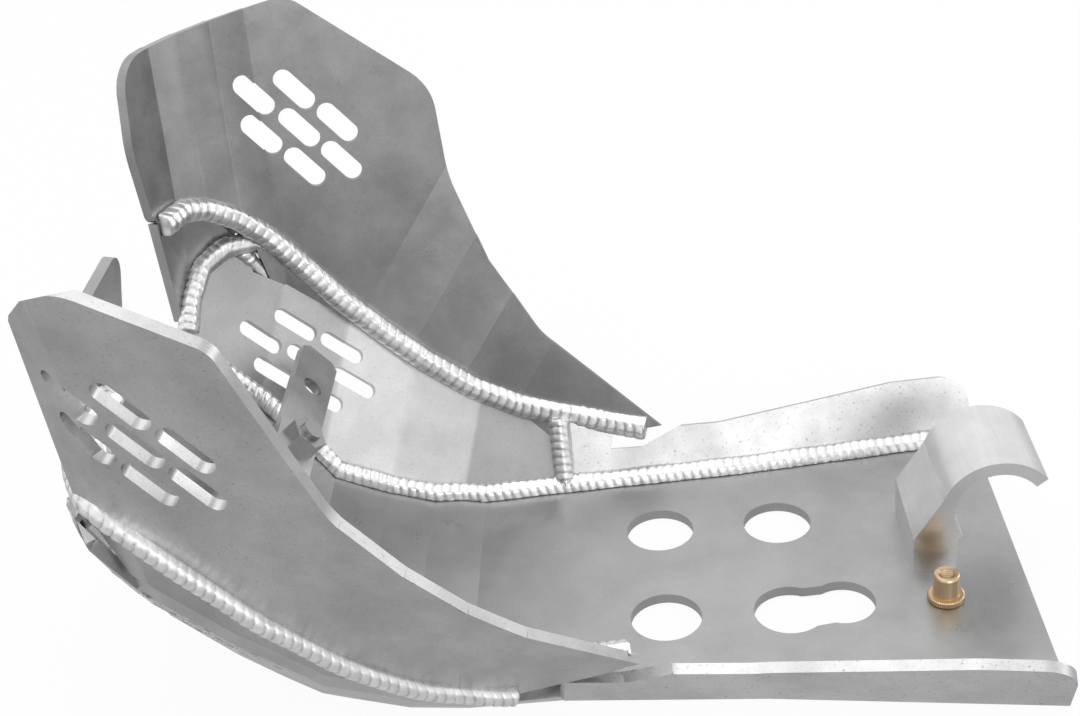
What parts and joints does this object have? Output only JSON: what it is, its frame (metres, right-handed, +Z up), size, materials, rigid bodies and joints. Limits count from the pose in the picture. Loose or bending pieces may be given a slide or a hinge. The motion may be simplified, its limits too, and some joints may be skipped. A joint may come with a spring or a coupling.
{
  "type": "motorcycle skid plate",
  "caption": "Welded sheet-aluminium skid plate for an off-road motorcycle, with slotted side wings, a bent-up nose, a front clamp bar and a rear tube clamp.",
  "frame": {"origin": "underside of the flat floor, on the middle plane, level with the two front drain holes", "axes": "+X to the rear of the motorcycle, +Y to its right-hand side, +Z up"},
  "size_m": [0.3432, 0.264, 0.2065],
  "materials": {
    "sheet": "mottled satin",
    "weld": "rippled, bright",
    "machined": "machined satin",
    "steel": "satin",
    "insert": "satin"
  },
  "bodies": {
    "root": {"centre_plate": "sheet", "right_front_side": "sheet", "left_front_side": "sheet", "right_wing": "sheet", "left_wing": "sheet", "right_rear_rail": "sheet", "left_rear_rail": "sheet", "right_front_gusset": "sheet", "left_front_gusset": "sheet", "right_wing_weld": "weld", "right_outer_weld": "weld", "right_arch_weld": "weld", "right_floor_weld": "weld", "right_cross_weld": "weld", "left_wing_weld": "weld", "left_outer_weld": "weld", "left_arch_weld": "weld", "left_floor_weld": "weld", "left_cross_weld": "weld", "rear_clamp": "machined", "rear_clamp_screws": "steel", "threaded_insert": "insert", "front_clamp_bar": "sheet", "front_clamp_spacer": "machined", "front_clamp_nut": "steel", "front_clamp_bolt": "steel"}
  },
  "joints": []
}
